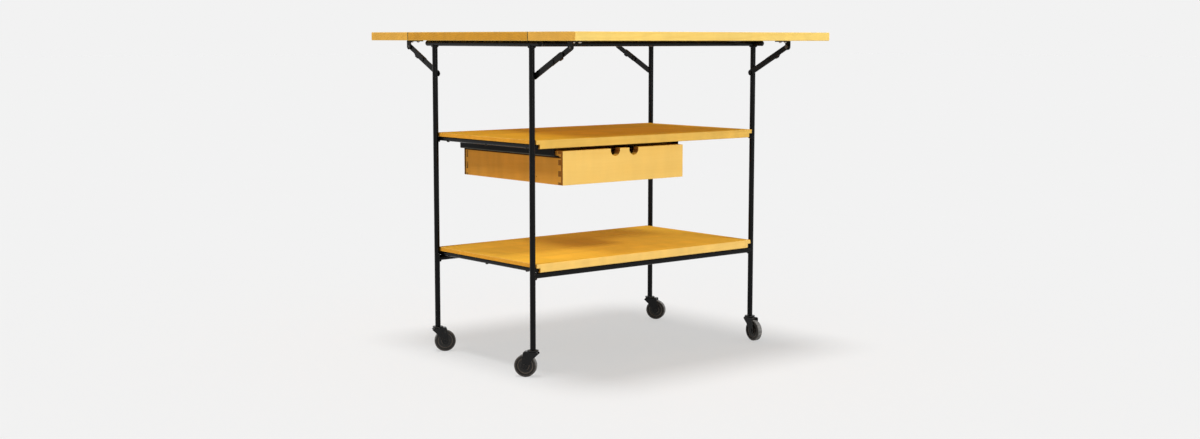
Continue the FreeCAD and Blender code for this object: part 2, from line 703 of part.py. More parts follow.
def drawer_back():
    body = new_body("drawer_back")
    bands = finger_bands()
    left_in = "(%s + side_thickness)" % DRAWER_LEFT
    right_in = "(%s - side_thickness)" % DRAWER_RIGHT
    outline = [(DRAWER_LEFT, DRAWER_FLOOR), (DRAWER_RIGHT, DRAWER_FLOOR)]
    for low, high in bands:
        outline += [(DRAWER_RIGHT, low), (right_in, low), (right_in, high), (DRAWER_RIGHT, high)]
    outline += [(DRAWER_RIGHT, DRAWER_TOP), (DRAWER_LEFT, DRAWER_TOP)]
    for low, high in reversed(bands):
        outline += [(DRAWER_LEFT, high), (left_in, high), (left_in, low), (DRAWER_LEFT, low)]
    pad(body, polygon(sketch_on(body, "XZ_Plane", "-%s" % DRAWER_BACK_Y), outline), "back_thickness")
    bottom_slot(body, BACK_INNER_Y, flip=False)
    groove = sketch_on(body, "XZ_Plane")
    low = "%s - groove_height" % GROOVE_TOP
    for end in (DRAWER_LEFT, DRAWER_RIGHT):
        rectangle(groove, "%s - groove_depth" % end, "%s + groove_depth" % end, low, GROOVE_TOP)
    # it meets the back only where it runs beside one of the back's own fingers
    pocket(body, groove, certain=False)
    return body


def drawer_bottom():
    body = new_body("drawer_bottom")
    spare = "(bottom_groove - bottom_clearance)"
    outline = sketch_on(body, "XY_Plane", BOTTOM_Z)
    rectangle(outline, "%s + side_thickness - %s" % (DRAWER_LEFT, spare),
              "%s - side_thickness + %s" % (DRAWER_RIGHT, spare),
              "%s - %s" % (FRONT_INNER_Y, spare), "%s + %s" % (BACK_INNER_Y, spare))
    pad(body, outline, "bottom_thickness")
    return body


def runner(label, side):
    """Folded Z-section: a flange under the shelf, a web, and a lip in the drawer side's groove."""
    body = new_body(label)
    face = "(drawer_width / 2 + runner_gap)"
    web_in = "%s * %s" % (side, face)
    web_out = "%s * (%s + runner_thickness)" % (side, face)
    lip_end = "%s * (drawer_width / 2 - runner_reach)" % side
    flange_end = "%s * (%s + runner_thickness + runner_flange)" % (side, face)
    flange_low = "(%s - runner_thickness)" % MIDDLE_UNDERSIDE
    lip_top = "(%s - runner_clearance)" % GROOVE_TOP
    lip_low = "(%s - runner_thickness)" % lip_top
    outline = [
        (lip_end, lip_low), (web_out, lip_low), (web_out, flange_low), (flange_end, flange_low),
        (flange_end, MIDDLE_UNDERSIDE), (web_in, MIDDLE_UNDERSIDE), (web_in, lip_top), (lip_end, lip_top),
    ]
    back = "(%s - runner_inset)" % SHELF_Y
    pad(body, polygon(sketch_on(body, "XZ_Plane", "-%s" % back), outline), "runner_length")
    bend_x = value(web_out)
    top_x = value(web_in)

    def outer_bend(edge):
        middle = edge.CenterOfMass
        low_bend = near(middle.x, bend_x) and near(middle.z, value(lip_low))
        high_bend = near(middle.x, top_x) and near(middle.z, value(MIDDLE_UNDERSIDE))
        return low_bend or high_bend

    fillet(body, "runner_thickness * 0.9", outer_bend)
    place(body, "drawer_offset")
    return body


# ---------------------------------------------------------------------------------------------------
# Braces: each link lies along its own Y from a pivot at its origin and is turned about X
# ---------------------------------------------------------------------------------------------------
LEG_LINK_HALF = "(leg_link_width / 2)"
LEAF_LINK_HALF = "(leaf_link_width / 2)"
EAR_FACE = "(%s + link_thickness / 2)" % OUTER_PLANE


def link_plate(label, plane, side, depth, half, start, end):
    """Flat bar with round ends from start to end along its length, in a plane beside the leg."""
    body = new_body(label)
    offset = "%s * %s - link_thickness / 2" % (side, plane)
    first = "%s * (%s + %s)" % (depth, start, half)
    last = "%s * (%s - %s)" % (depth, end, half)
    ends = [first, last] if value(first) < value(last) else [last, first]
    bar = rectangle(sketch_on(body, "YZ_Plane", offset), ends[0], ends[1], "-%s" % half, half)
    pad(body, bar, "link_thickness")
    for middle in (first, last):
        round_end = circle(sketch_on(body, "YZ_Plane", offset), middle, "0", "2 * %s" % half)
        pad(body, round_end, "link_thickness")
    return body


def rivet_head(body, y, z, start, way, side):
    """Round head on one face of a plate; way is +1 away from the table's middle and -1 towards it."""
    low = start if way == side else "%s - pivot_head_height" % start
    pad(body, circle(sketch_on(body, "YZ_Plane", low), y, z, "pivot_head_diameter"), "pivot_head_height")


def leg_link(corner):
    side, depth = CORNERS[corner]
    body = link_plate("leg_link_" + corner, OUTER_PLANE, side, depth, LEG_LINK_HALF,
                      "(-%s)" % LEG_LINK_HALF, "(leg_link_length + leg_link_tail)")
    pocket(body, circle(sketch_on(body, "YZ_Plane"), "0", "0", "pivot_diameter + 2 * pivot_clearance"))

    # stop tab: an ear below the tail, bent under the edge of the leaf link
    tail = "(leg_link_length + leg_link_tail - %s)" % LEG_LINK_HALF
    reach = [("%s * %s" % (depth, y)) for y in ("(%s - stop_tab_length)" % tail, tail)]
    if depth == "-1":
        reach.reverse()
    tab_top = "(-%s - link_gap)" % LEAF_LINK_HALF
    tab_low = "(%s - link_thickness)" % tab_top
    ear = sketch_on(body, "YZ_Plane", "%s * %s - link_thickness / 2" % (side, OUTER_PLANE))
    pad(body, rectangle(ear, reach[0], reach[1], tab_low, "0"), "link_thickness")
    faces = [
        "%s * (%s + link_thickness / 2)" % (side, OUTER_PLANE),
        "%s * (%s - link_thickness / 2)" % (side, INNER_PLANE),
    ]
    low = faces[0] if side == "-1" else faces[1]
    tab = sketch_on(body, "YZ_Plane", low)
    pad(body, rectangle(tab, reach[0], reach[1], tab_low, tab_top), "2 * link_thickness + link_gap")

    # elbow rivet's outer half
    outer_face = "%s * (%s + link_thickness / 2)" % (side, OUTER_PLANE)
    rivet_head(body, "%s * leg_link_length" % depth, "0", outer_face, side, "1")
    turn(body, Vector(1, 0, 0), "%s * %s" % (depth, BRACE_ANGLE))
    place(body, "0", "%s * %s" % (depth, LEG_Y), LEG_PIVOT_Z)
    return body


def leaf_link(corner):
    """Runs back from the bracket's pivot to the elbow and a little beyond."""
    side, depth = CORNERS[corner]
    body = link_plate("leaf_link_" + corner, INNER_PLANE, side, depth, LEAF_LINK_HALF,
                      "(-%s - leaf_link_tail)" % LEAF_LINK_LENGTH, LEAF_LINK_HALF)
    pocket(body, circle(sketch_on(body, "YZ_Plane"), "0", "0", "pivot_diameter + 2 * pivot_clearance"))
    inner_face = "%s * (%s - link_thickness / 2)" % (side, INNER_PLANE)
    inward = "-1" if side == "1" else "1"
    rivet_head(body, "-%s * %s" % (depth, LEAF_LINK_LENGTH), "0", inner_face, inward, "1")
    turn(body, Vector(1, 0, 0), "%s * %s" % (depth, BRACE_ANGLE))
    place(body, "0", "%s * %s" % (depth, EAR_Y), EAR_Z)
    return body


def leaf_bracket(corner):
    """Angle under the leaf: a flange along the leaf and an ear for the pin, in the outer plane."""
    side, depth = CORNERS[corner]
    body = new_body("leaf_bracket_" + corner)
    half = "bracket_width / 2"
    y = "%s * %s" % (depth, EAR_Y)
    offset = "%s * %s - link_thickness / 2" % (side, OUTER_PLANE)
    ear = rectangle(sketch_on(body, "YZ_Plane", offset), "%s - %s" % (y, half), "%s + %s" % (y, half),
                    EAR_Z, UNDERSIDE)
    pad(body, ear, "link_thickness")
    pad(body, circle(sketch_on(body, "YZ_Plane", offset), y, EAR_Z, "bracket_width"), "link_thickness")
    ends = ["%s * %s" % (side, EAR_FACE), "%s * (%s - bracket_length)" % (side, EAR_FACE)]
    if side == "1":
        ends.reverse()
    flange = rectangle(sketch_on(body, "XY_Plane", "%s - link_thickness" % UNDERSIDE), ends[0], ends[1],
                       "%s - %s" % (y, half), "%s + %s" % (y, half))
    pad(body, flange, "link_thickness")
    outer_x = value("%s * %s" % (side, EAR_FACE))
    fillet(body, "link_thickness * 0.9",
           lambda edge: near(edge.CenterOfMass.x, outer_x) and near(edge.CenterOfMass.z, value(UNDERSIDE)))
    pocket(body, circle(sketch_on(body, "YZ_Plane"), y, EAR_Z, "pivot_diameter"))
    return body


def bracket_pins(label, depth):
    """Pins through the ears and the leaf links, headed inboard of the links."""
    head_in = "(%s - link_thickness / 2 - link_gap)" % INNER_PLANE
    pins = []
    for side in SIDES:
        body = new_body("%s_pin_%s" % (label, "left" if side == "-1" else "right"))
        outline = [
            ("%s * (%s - pivot_head_height)" % (side, head_in), "0"),
            ("%s * (%s - pivot_head_height)" % (side, head_in), "pivot_head_diameter / 2"),
            ("%s * %s" % (side, head_in), "pivot_head_diameter / 2"),
            ("%s * %s" % (side, head_in), "pivot_diameter / 2"),
            ("%s * %s" % (side, EAR_FACE), "pivot_diameter / 2"),
            ("%s * %s" % (side, EAR_FACE), "0"),
        ]
        revolve(body, polygon(sketch_on(body, "XZ_Plane"), outline), "H_Axis")
        place(body, "0", "%s * %s" % (depth, EAR_Y), EAR_Z)
        pins.append(body)
    return pins


def leg_studs(legs):
    """Studs welded to the legs' inner sides, headed inboard of the leg links."""
    head_face = "(%s - link_thickness / 2 - link_gap / 2)" % OUTER_PLANE
    studs = []
    for corner, (side, depth) in CORNERS.items():
        body = new_body("stud_" + corner)
        outline = [
            ("%s * (%s - pivot_head_height)" % (side, head_face), "0"),
            ("%s * (%s - pivot_head_height)" % (side, head_face), "pivot_head_diameter / 2"),
            ("%s * %s" % (side, head_face), "pivot_head_diameter / 2"),
            ("%s * %s" % (side, head_face), "pivot_diameter / 2"),
            ("%s * %s" % (side, LEG_X), "pivot_diameter / 2"),
            ("%s * %s" % (side, LEG_X), "0"),
        ]
        revolve(body, polygon(sketch_on(body, "XZ_Plane"), outline), "H_Axis")
        place(body, "0", "%s * %s" % (depth, LEG_Y), LEG_PIVOT_Z)
        studs.append(body)
    seats = compound("stud_legs", list(legs.values()))
    return cut("brace_leg_studs", compound("studs_uncut", studs), [seats])


# ---------------------------------------------------------------------------------------------------
# Casters: swivel axis along Z through the origin on the floor, wheel towards +X
# ---------------------------------------------------------------------------------------------------
def swing(piece, corner, reach):
    """Put a caster's piece at its corner, turned to the direction in which the wheel trails."""
    side, depth = CORNERS[corner]
    angle = "trail_" + corner
    turn(piece, Vector(0, 0, 1), angle)
    x = "%s * %s + %s * cos(%s)" % (side, LEG_X, reach, angle)
    y = "%s * %s + %s * sin(%s)" % (depth, LEG_Y, reach, angle)
    return x, y


def caster_fork(corner):
    body = new_body("caster_fork_" + corner)
    width = "(fork_inner_width + 2 * fork_sheet)"
    radius = "cheek_radius"
    outline = [
        ("-fork_nose_reach", "%s - fork_nose_drop" % CROWN_Z),
        ("-fork_waist_reach", "%s - fork_waist_drop" % CROWN_Z),
        ("caster_trail - %s" % radius, "%s + cheek_front_rise" % AXLE_Z),
        ("caster_trail", AXLE_Z),
        ("caster_trail + %s" % radius, "%s + cheek_front_rise" % AXLE_Z),
        ("fork_back_reach", "%s - fork_back_length" % CROWN_Z),
        ("fork_back_reach", "%s - fork_back_drop" % CROWN_Z),
        ("fork_crown_back", CROWN_Z),
        ("-fork_crown_front", CROWN_Z),
    ]
    pad(body, polygon(sketch_on(body, "XZ_Plane"), outline), width, symmetric=True)
    round_end = circle(sketch_on(body, "XZ_Plane"), "caster_trail", AXLE_Z, "2 * %s" % radius)
    pad(body, round_end, width, symmetric=True)
    half = value(width) / 2
    top = value(CROWN_Z)

    def crown_edge(edge):
        middle = edge.CenterOfMass
        return is_straight(edge) and near(abs(middle.y), half) and near(middle.z, top)

    fillet(body, "fork_bend_radius", crown_edge)
    channel = sketch_on(body, "YZ_Plane")
    inside = "fork_inner_width / 2"
    rectangle(channel, "-%s" % inside, inside, "-cheek_radius", "%s - fork_sheet" % CROWN_Z)
    pocket(body, channel)
    pocket(body, circle(sketch_on(body, "XZ_Plane"), "caster_trail", AXLE_Z, "axle_diameter"))
    crown_hole = sketch_on(body, "XY_Plane", CROWN_Z)
    circle(crown_hole, "0", "0", "swivel_rivet_diameter + 2 * swivel_rivet_clearance")
    pocket(body, crown_hole, "fork_sheet * 2")
    x, y = swing(body, corner, "0")
    place(body, x, y, "0")
    return body


def caster_wheel(corner):
    """Wheel turned about its axle along Y, with a recess between hub and rim on each side."""
    body = new_body("caster_wheel_" + corner)
    bore = "axle_diameter / 2 + axle_clearance"
    rim = "wheel_diameter / 2 - wheel_rim"
    face = "wheel_width / 2"
    web = "wheel_width / 2 - wheel_recess"
    hub = "hub_length / 2"
    half = [
        (hub, bore), (hub, "hub_diameter / 2"), (web, "hub_diameter / 2"), (web, rim), (face, rim),
        (face, "wheel_diameter / 2 - wheel_shoulder"), ("%s - wheel_shoulder" % face, "wheel_diameter / 2"),
    ]
    outline = half + [("-(%s)" % y, radius) for y, radius in reversed(half)]
    revolve(body, polygon(sketch_on(body, "YZ_Plane"), outline), "H_Axis")
    x, y = swing(body, corner, "caster_trail")
    place(body, x, y, AXLE_Z)
    return body


def caster_axle(corner):
    """Riveted axle with a head outside each cheek."""
    body = new_body("caster_axle_" + corner)
    cheek = "(fork_inner_width / 2 + fork_sheet)"
    head = "%s + axle_head_height" % cheek
    half = [(head, "0"), (head, "axle_head_diameter / 2"), (cheek, "axle_head_diameter / 2"),
            (cheek, "axle_diameter / 2")]
    outline = half + [("-(%s)" % y, radius) for y, radius in reversed(half)]
    revolve(body, polygon(sketch_on(body, "YZ_Plane"), outline), "H_Axis")
    x, y = swing(body, corner, "caster_trail")
    place(body, x, y, AXLE_Z)
    return body


def caster_stems():
    """Upper race with a stem in the leg and a headed rivet through the fork's crown."""
    body = new_body("caster_stem")
    race = "raceway_diameter / 2"
    rivet = "swivel_rivet_diameter / 2"
    head = "swivel_head_diameter / 2"
    head_top = "(%s - fork_sheet - swivel_clearance)" % CROWN_Z
    race_low = "(%s + swivel_clearance)" % CROWN_Z
    outline = [
        ("0", "%s - swivel_head_height" % head_top), (head, "%s - swivel_head_height" % head_top),
        (head, head_top), (rivet, head_top), (rivet, race_low), (race, race_low),
        (race, "%s - raceway_crown" % FOOT_Z), (ROD, FOOT_Z), ("stem_diameter / 2", FOOT_Z),
        ("stem_diameter / 2", "%s + stem_length" % FOOT_Z), ("0", "%s + stem_length" % FOOT_Z),
    ]
    revolve(body, polygon(sketch_on(body, "XZ_Plane"), outline), "V_Axis")
    places = [
        ("%s * %s" % (side, LEG_X), "%s * %s" % (depth, LEG_Y), "0", "0")
        for side, depth in CORNERS.values()
    ]
    return compound("caster_stems", copies_of(body, places))


# ---------------------------------------------------------------------------------------------------
# Assembly
# ---------------------------------------------------------------------------------------------------
def build():
    nodes = [top_panel(), leaf("front_leaf", "-1"), leaf("back_leaf", "1")]
    nodes += hinges()
    rails = side_rails()
    legs = {corner: leg(corner, rails) for corner in CORNERS}
    crosses = cross_rails(rails, legs)
    frame = list(rails.values()) + list(legs.values()) + crosses
    nodes += frame
    nodes.append(weld_beads(rails, legs, crosses))
    nodes += [shelf("middle_shelf", MIDDLE_UNDERSIDE), shelf("lower_shelf", LOWER_UNDERSIDE)]
    nodes += [drawer_front(), drawer_back(), drawer_bottom()]
    nodes += [drawer_side("drawer_side_left", "-1"), drawer_side("drawer_side_right", "1")]
    nodes += [runner("runner_left", "-1"), runner("runner_right", "1")]
    for corner in CORNERS:
        nodes += [leg_link(corner), leaf_link(corner), leaf_bracket(corner)]
        nodes += [caster_fork(corner), caster_wheel(corner), caster_axle(corner)]
    nodes.append(compound("front_leaf_fasteners", bracket_pins("front", "-1")))
    nodes.append(compound("back_leaf_fasteners", bracket_pins("back", "1")))
    nodes.append(leg_studs(legs))
    nodes.append(caster_stems())
    return nodes


def export(nodes):
    doc.recompute()
    for thing in doc.Objects:
        if "Invalid" in thing.State or "Error" in thing.State:
            raise RuntimeError("%s failed: %s" % (thing.Label, thing.State))
    for node in nodes:
        if node.Shape.isNull() or not node.Shape.isValid():
            raise RuntimeError("%s has no valid shape" % node.Label)
    os.makedirs("parts", exist_ok=True)
    for node in nodes:
        node.Shape.exportStep("parts/%s.step" % node.Label)
    print("%d nodes" % len(nodes))


export(build())
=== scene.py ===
import json
import math
import random

import bmesh
import bpy
from mathutils import Matrix, Vector

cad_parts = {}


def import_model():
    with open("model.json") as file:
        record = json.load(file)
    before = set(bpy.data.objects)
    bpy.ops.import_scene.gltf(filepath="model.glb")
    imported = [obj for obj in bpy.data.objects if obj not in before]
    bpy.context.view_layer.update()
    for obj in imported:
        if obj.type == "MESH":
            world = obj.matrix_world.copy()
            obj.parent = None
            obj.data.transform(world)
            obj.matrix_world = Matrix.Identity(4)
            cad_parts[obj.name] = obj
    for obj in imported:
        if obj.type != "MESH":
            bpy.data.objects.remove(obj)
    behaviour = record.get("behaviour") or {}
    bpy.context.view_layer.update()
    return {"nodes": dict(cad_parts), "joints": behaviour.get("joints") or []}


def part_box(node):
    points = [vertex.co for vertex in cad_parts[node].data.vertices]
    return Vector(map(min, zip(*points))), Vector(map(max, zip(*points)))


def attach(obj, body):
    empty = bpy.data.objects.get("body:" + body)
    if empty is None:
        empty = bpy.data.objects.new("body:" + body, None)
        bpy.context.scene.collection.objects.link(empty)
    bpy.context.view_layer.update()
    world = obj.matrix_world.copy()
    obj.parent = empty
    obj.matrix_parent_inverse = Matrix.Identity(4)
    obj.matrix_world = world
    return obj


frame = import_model()
nodes = frame["nodes"]

BAND_RIM = 0.0008  # width over which the edge of a painted mark fades

# ---------------------------------------------------------------------------------------------------
# Material nodes
# ---------------------------------------------------------------------------------------------------


def linear(r, g, b):
    """An sRGB colour written 0 to 255, as scene-linear RGBA."""
    out = []
    for value in (r, g, b):
        v = value / 255.0
        out.append(v / 12.92 if v <= 0.04045 else ((v + 0.055) / 1.055) ** 2.4)
    return tuple(out) + (1.0,)


class Graph:
    """Short calls for the nodes of one empty tree."""

    def __init__(self, tree):
        self.tree = tree
        self.tree.nodes.clear()
        self.coords = self.add("ShaderNodeTexCoord")

    def add(self, kind, **settings):
        node = self.tree.nodes.new(kind)
        for key, value in settings.items():
            setattr(node, key, value)
        return node

    def feed(self, socket, value):
        """A link where value is a socket, a default where it is a number or a colour."""
        if isinstance(value, bpy.types.NodeSocket):
            self.tree.links.new(value, socket)
        else:
            socket.default_value = value

    def math(self, operation, a, b=0.0, c=0.0, clamp=False):
        node = self.add("ShaderNodeMath", operation=operation, use_clamp=clamp)
        for socket, value in zip(node.inputs, (a, b, c)):
            self.feed(socket, value)
        return node.outputs[0]

    def mapping(self, vector, scale=(1, 1, 1), location=(0, 0, 0), rotation=(0, 0, 0)):
        node = self.add("ShaderNodeMapping")
        self.feed(node.inputs["Vector"], vector)
        node.inputs["Scale"].default_value = scale
        node.inputs["Location"].default_value = location
        node.inputs["Rotation"].default_value = rotation
        return node.outputs[0]

    def noise(self, vector, scale=1.0, detail=4.0, roughness=0.5, distortion=0.0):
        node = self.add("ShaderNodeTexNoise")
        self.feed(node.inputs["Vector"], vector)
        for key, value in (("Scale", scale), ("Detail", detail), ("Roughness", roughness),
                           ("Distortion", distortion)):
            node.inputs[key].default_value = value
        return node.outputs["Fac"]

    def spread(self, value, low, high, to_low=0.0, to_high=1.0):
        """value from low..high onto to_low..to_high, held at the ends."""
        node = self.add("ShaderNodeMapRange", clamp=True)
        self.feed(node.inputs["Value"], value)
        for key, number in (("From Min", low), ("From Max", high), ("To Min", to_low), ("To Max", to_high)):
            node.inputs[key].default_value = number
        return node.outputs["Result"]

    def mix(self, fac, a, b, blend="MIX"):
        node = self.add("ShaderNodeMix", data_type="RGBA", blend_type=blend)
        self.feed(node.inputs["Factor"], fac)
        self.feed(node.inputs[6], a)
        self.feed(node.inputs[7], b)
        return node.outputs[2]

    def tone(self, colour, amount):
        """The colour multiplied by a grey amount."""
        grey = self.add("ShaderNodeCombineColor")
        for socket in grey.inputs:
            self.feed(socket, amount)
        return self.mix(1.0, colour, grey.outputs[0], "MULTIPLY")

    def split(self, vector):
        node = self.add("ShaderNodeSeparateXYZ")
        self.feed(node.inputs[0], vector)
        return node.outputs

    def bump(self, height, strength, distance, normal=None):
        node = self.add("ShaderNodeBump")
        node.inputs["Strength"].default_value = strength
        node.inputs["Distance"].default_value = distance
        self.feed(node.inputs["Height"], height)
        if normal is not None:
            self.feed(node.inputs["Normal"], normal)
        return node.outputs[0]

    def ridge(self, value, centre, width):
        """1 at the centre, falling to 0 at width from it."""
        away = self.math("ABSOLUTE", self.math("SUBTRACT", value, centre))
        return self.spread(away, 0.0, width, 1.0, 0.0)

    def band(self, value, centre, half):
        """1 within half of the centre, 0 beyond the rim around that."""
        away = self.math("ABSOLUTE", self.math("SUBTRACT", value, centre))
        return self.spread(away, half, half + BAND_RIM, 1.0, 0.0)

    def seen(self):
        """1 for camera, glossy and transmission rays, 0 for the rays that carry light."""
        path = self.add("ShaderNodeLightPath")
        glass = self.math("MAXIMUM", path.outputs["Is Glossy Ray"], path.outputs["Is Transmission Ray"])
        return self.math("MAXIMUM", path.outputs["Is Camera Ray"], glass)

    def blend(self, fac, a, b, surface):
        """Two shaders mixed by fac, into an output node's surface."""
        node = self.add("ShaderNodeMixShader")
        for socket, value in zip(node.inputs, (fac, a, b)):
            self.feed(socket, value)
        self.feed(surface, node.outputs[0])


class Paint(Graph):
    """A material with a principled shader, and object coordinates for its patterns."""

    def __init__(self, name):
        self.material = bpy.data.materials.new(name)
        self.material.use_nodes = True
        super().__init__(self.material.node_tree)
        self.output = self.add("ShaderNodeOutputMaterial")
        self.shader = self.add("ShaderNodeBsdfPrincipled")
        self.feed(self.output.inputs["Surface"], self.shader.outputs["BSDF"])
        self.position = self.coords.outputs["Object"]
        self.normal = self.coords.outputs["Normal"]

    def even_noise(self, scale, location=(0, 0, 0), **settings):
        """Noise of the same scale along all three axes."""
        return self.noise(self.mapping(self.position, scale=(scale,) * 3, location=location), **settings)

    def soft_edges(self, radius):
        """The normal rounded over the edges."""
        node = self.add("ShaderNodeBevel", samples=4)
        node.inputs["Radius"].default_value = radius
        return node.outputs[0]

    def edges(self, radius, low, high):
        """1 on sharp outer edges, from the difference of the rounded and the true normal."""
        plain = self.add("ShaderNodeNewGeometry")
        product = self.add("ShaderNodeVectorMath", operation="DOT_PRODUCT")
        self.feed(product.inputs[0], self.soft_edges(radius))
        self.feed(product.inputs[1], plain.outputs["Normal"])
        return self.spread(self.math("SUBTRACT", 1.0, product.outputs["Value"]), low, high)

    def set(self, **values):
        for key, value in values.items():
            self.feed(self.shader.inputs[key.replace("_", " ")], value)


# ---------------------------------------------------------------------------------------------------
# Wood: honey-coloured lacquered maple, with painted shade on the upward faces and darker, cooler downward
# faces
# ---------------------------------------------------------------------------------------------------
# painted highlight: the colour of the rounded board edges where they catch the light
EDGE_HIGHLIGHT_COLOUR = linear(252, 214, 120)
RING_TILT = 0.035  # radians between the tree's axis and the board
RINGS_PER_METRE = 620.0
END_RINGS_PER_METRE = 1300.0
GLUE_LINE = 0.0004


def wood(name, grain, width, light, dark, end, seed, stave=0.0, gloss=0.45, specular=0.02,
         top=(1.0, 0.86, 0.28, 1.0), under=(0.84, 0.72, 0.6, 1.0), figure=1.0, mottle=1.0,
         marks=lambda g: ()):
    """grain and width are the axes of the fibres and of the board's width, and stave is a glued strip's
    width, 0 for one board. end is the end grain's colour. top and under tint the faces that lie upwards
    and downwards: top is painted shade that deepens the upward faces, under darkens and cools the
    downward ones. figure is the strength of the lines along the grain and mottle that of the soft
    patches across it. marks gives dark places, each as a mask and a strength."""
    g = Paint(name)
    position = g.position

    def stretched(along, over, shift):
        scale = [over, over, over]
        scale[grain] = along
        return g.mapping(position, scale=scale, location=(shift, shift * 1.7, shift * 0.6))

    # staves glued edge to edge: each has its own tone and its own stretch of grain
    tone = None
    seam = None
    if stave > 0:
        place = g.math("DIVIDE", g.split(position)[width], stave)
        place = g.math("ADD", place, 0.37 + seed)
        number = g.math("FLOOR", place)
        dice = g.add("ShaderNodeTexWhiteNoise", noise_dimensions="1D")
        g.feed(dice.inputs["W"], number)
        tone = dice.outputs["Value"]
        part = g.math("FRACT", place)
        edge = g.math("MINIMUM", part, g.math("SUBTRACT", 1.0, part))
        seam = g.spread(edge, 0.0, GLUE_LINE / stave, 1.0, 0.0)
        shift = g.add("ShaderNodeCombineXYZ")
        g.feed(shift.inputs[grain], g.math("MULTIPLY", tone, 3.1))
        g.feed(shift.inputs[3 - grain - width], g.math("MULTIPLY", tone, 0.23))
        moved = g.add("ShaderNodeVectorMath", operation="ADD")
        g.feed(moved.inputs[0], position)
        g.feed(moved.inputs[1], shift.outputs[0])
        position = moved.outputs[0]

    fibre = g.noise(stretched(4.0, 210.0, seed), detail=5.0, roughness=0.6, distortion=0.2)
    pores = g.noise(stretched(34.0, 1300.0, seed + 2.1), detail=3.0, roughness=0.55)
    drift = g.noise(stretched(1.5, 10.0, seed + 4.0), detail=3.0)
    curl = g.noise(stretched(32.0, 7.0, seed + 7.3), detail=3.0, roughness=0.5)
    patch = g.noise(g.mapping(position, scale=(14, 14, 14), location=(seed, 1, 2)),
                    detail=4.0, roughness=0.6)

    # growth rings cut by the face, with a slight tilt and a slow wander that draw long arches
    tilt = [0.0, 0.0, 0.0]
    tilt[1 if grain == 0 else 0] = RING_TILT
    warp = g.noise(stretched(2.0, 9.0, seed + 9.0), detail=3.0)
    turned = g.mapping(position, location=(0.0, 0.061 + seed * 0.013, -0.09), rotation=tilt)
    rings = g.split(turned)
    others = [i for i in range(3) if i != grain]
    radius = g.math("SQRT", g.math("ADD", g.math("POWER", rings[others[0]], 2.0),
                                   g.math("POWER", rings[others[1]], 2.0)))
    radius = g.math("ADD", radius, g.math("MULTIPLY", warp, 0.06))
    ring = g.math("SINE", g.math("MULTIPLY", radius, RINGS_PER_METRE))
    ring = g.spread(ring, 0.1, 1.0, 0.0, 1.0)

    mixed = g.math("MULTIPLY_ADD", fibre, 0.36 * figure, g.math("MULTIPLY", drift, 0.5))
    mixed = g.math("MULTIPLY_ADD", ring, g.math("MULTIPLY", drift, 0.14 * figure), mixed)
    mixed = g.math("MULTIPLY_ADD", patch, 0.2, mixed)
    mixed = g.spread(mixed, 0.38 - 0.18 * (1 - figure), 0.74 - 0.22 * (1 - figure))
    colour = g.mix(mixed, light, dark)
    upward = g.split(g.normal)[2]
    # painted shade: top deepens and saturates the upward faces in place of the shade and warm bounce
    # between the boards; under darkens and cools the downward faces
    colour = g.mix(g.spread(upward, 0.6, 0.95), colour, g.mix(1.0, colour, top, "MULTIPLY"))
    colour = g.mix(g.spread(upward, -0.6, -0.9), colour, g.mix(1.0, colour, under, "MULTIPLY"))
    shade = g.spread(curl, 0.3, 0.7, 1 - 0.055 * mottle, 1 + 0.04 * mottle)
    shade = g.math("MULTIPLY", shade, g.spread(patch, 0.3, 0.7, 1 - 0.06 * mottle, 1 + 0.045 * mottle))
    shade = g.math("MULTIPLY", shade, g.spread(pores, 0.32, 0.46, 1 - 0.07 * figure, 1.0))
    if tone is not None:
        shade = g.math("MULTIPLY", shade, g.spread(tone, 0.0, 1.0, 0.95, 1.04))
        shade = g.math("MULTIPLY", shade, g.math("MULTIPLY_ADD", seam, -0.3, 1.0))

    # a few small dark flecks
    cells = g.add("ShaderNodeTexVoronoi", feature="F1")
    g.feed(cells.inputs["Vector"], stretched(9.0, 17.0, seed + 5.0))
    cells.inputs["Scale"].default_value = 1.0
    fleck = g.spread(cells.outputs["Distance"], 0.012, 0.03, 0.62, 1.0)
    shade = g.math("MULTIPLY", shade, fleck)
    colour = g.tone(colour, shade)

    # end grain takes the finish deeper and shows pores and bands instead of fibres
    facing = g.split(g.normal)[grain]
    is_end = g.spread(g.math("ABSOLUTE", facing), 0.55, 0.85)
    grit = g.noise(g.mapping(position, scale=(600, 600, 600)), detail=4.0, roughness=0.7)
    blotch_scale = [45.0, 45.0, 45.0]
    blotch_scale[grain] = 0.0
    blotch = g.noise(g.mapping(position, scale=blotch_scale, location=(seed, seed, 0)),
                     detail=4.0, roughness=0.6)
    end_ring = g.math("SINE", g.math("MULTIPLY", radius, END_RINGS_PER_METRE))
    end_ring = g.spread(end_ring, -1.0, 1.0, 0.93, 1.03)
    end_shade = g.math("MULTIPLY", end_ring, g.spread(grit, 0.3, 0.62, 0.86, 1.03))
    end_shade = g.math("MULTIPLY", end_shade, g.spread(blotch, 0.3, 0.7, 0.9, 1.08))
    colour = g.mix(is_end, colour, g.tone(end, end_shade))

    # the rounded edges get a painted highlight, and the marks darken single places: knots, joints, and
    # painted shade in gaps and grooves
    painted_edge_highlight = g.edges(0.0014, 0.01, 0.1)
    colour = g.mix(g.math("MULTIPLY", painted_edge_highlight, g.spread(patch, 0.3, 0.6, 0.15, 0.5)), colour, EDGE_HIGHLIGHT_COLOUR)
    for mask, strength in marks(g):
        colour = g.tone(colour, g.math("MULTIPLY_ADD", mask, -strength, 1.0))

